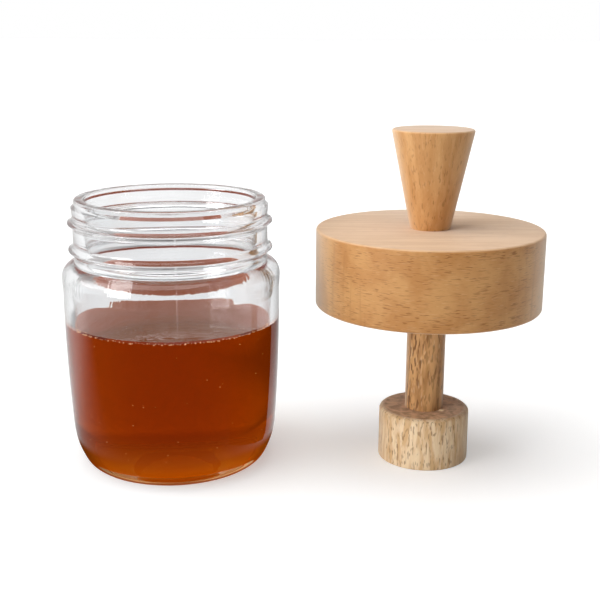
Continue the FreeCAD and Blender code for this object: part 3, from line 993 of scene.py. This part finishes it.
def make_world():
    """White behind and beside the object, greyer higher up, and a dark room behind the camera."""
    world = bpy.data.worlds.new("studio")
    bpy.context.scene.world = world
    world.use_nodes = True
    tree = world.node_tree
    tree.nodes.clear()
    way = add(tree, "ShaderNodeTexCoord")
    across, back, up = add(tree, "ShaderNodeSeparateXYZ", (way.outputs["Generated"],)).outputs
    glossy = rays(tree, "Is Glossy Ray")
    dark = add(tree, "ShaderNodeMix", {0: glossy, 2: ROOM_THROUGH, 3: ROOM})
    ahead = add(tree, "ShaderNodeMapRange", (back, -0.85, -0.35), **SMOOTH)
    room = add(tree, "ShaderNodeMix", {0: ahead, 2: dark, 3: 1.0})
    mirrored = reflected_sky(tree, across, up)
    through = add(tree, "ShaderNodeMapRange", (up, 0.35, 0.6, 1.0, SKY_THROUGH), **SMOOTH)
    sky = add(tree, "ShaderNodeMix", {0: glossy, 2: through, 3: mirrored})
    window = small_window(tree, across, up)
    sky = add(tree, "ShaderNodeMath", (sky, window), operation="ADD")
    ceiling = add(tree, "ShaderNodeMapRange", (up, 0.75, 0.9, 0.0, CEILING), **SMOOTH)
    sky = add(tree, "ShaderNodeMath", (sky, ceiling), operation="ADD")
    left = add(tree, "ShaderNodeMapRange", (across, -0.75, -0.3, LEFT_THROUGH, 1.0), **SMOOTH)
    left = add(tree, "ShaderNodeMix", {0: glossy, 2: left, 3: 1.0})
    sky = add(tree, "ShaderNodeMath", (sky, left), operation="MULTIPLY")
    shown = add(tree, "ShaderNodeMath", (room, sky), operation="MULTIPLY")
    camera = rays(tree, "Is Camera Ray")
    shown = add(tree, "ShaderNodeMath", (shown, camera), operation="MAXIMUM")
    soft = add(tree, "ShaderNodeBackground", {"Color": WHITE, "Strength": AMBIENT})
    white = add(tree, "ShaderNodeBackground", {"Color": WHITE, "Strength": shown})
    seen = rays(tree, "Is Camera Ray", "Is Transmission Ray", "Is Glossy Ray")
    mixed = add(tree, "ShaderNodeMixShader", (seen, soft, white))
    add(tree, "ShaderNodeOutputWorld", (mixed,))


def add_sun(name, turned, height, spread, strength):
    """A large soft light far away, turned degrees from +X and height degrees above the floor."""
    light = bpy.data.lights.new(name, "SUN")
    light.angle = math.radians(spread)
    light.energy = strength
    sun = bpy.data.objects.new(name, light)
    bpy.context.scene.collection.objects.link(sun)
    aim = math.radians(turned)
    rise = math.radians(height)
    way = Vector((math.cos(aim) * math.cos(rise), math.sin(aim) * math.cos(rise), math.sin(rise)))
    sun.rotation_euler = way.to_track_quat("Z", "Y").to_euler()


def make_lights():
    add_sun("softbox_left", 182, 32, 45, 1.3)
    add_sun("softbox_above", 225, 80, 60, 1.8)
    add_sun("fill_left", 217, 11, 28, 1.5)


def make_camera():
    data = bpy.data.cameras.new("camera")
    data.lens = CAMERA_LENS
    data.sensor_width = 36.0
    camera = bpy.data.objects.new("camera", data)
    bpy.context.scene.collection.objects.link(camera)
    camera.matrix_world = (
        Matrix.Translation(CAMERA_PLACE)
        @ Matrix.Rotation(math.radians(90 - CAMERA_PITCH), 4, "X")
        @ Matrix.Rotation(math.radians(CAMERA_ROLL), 4, "Z")
    )
    bpy.context.scene.camera = camera


make_camera()
make_stage()
make_world()
make_lights()
make_flag()
make_jar()
make_honey()
make_lid()
make_knob()
make_stem()
make_foot()
make_bubbles()
make_crumb()

scene = bpy.context.scene
scene.view_settings.view_transform = "Standard"
scene.cycles.max_bounces = 24
scene.cycles.glossy_bounces = 16
scene.cycles.transmission_bounces = 24
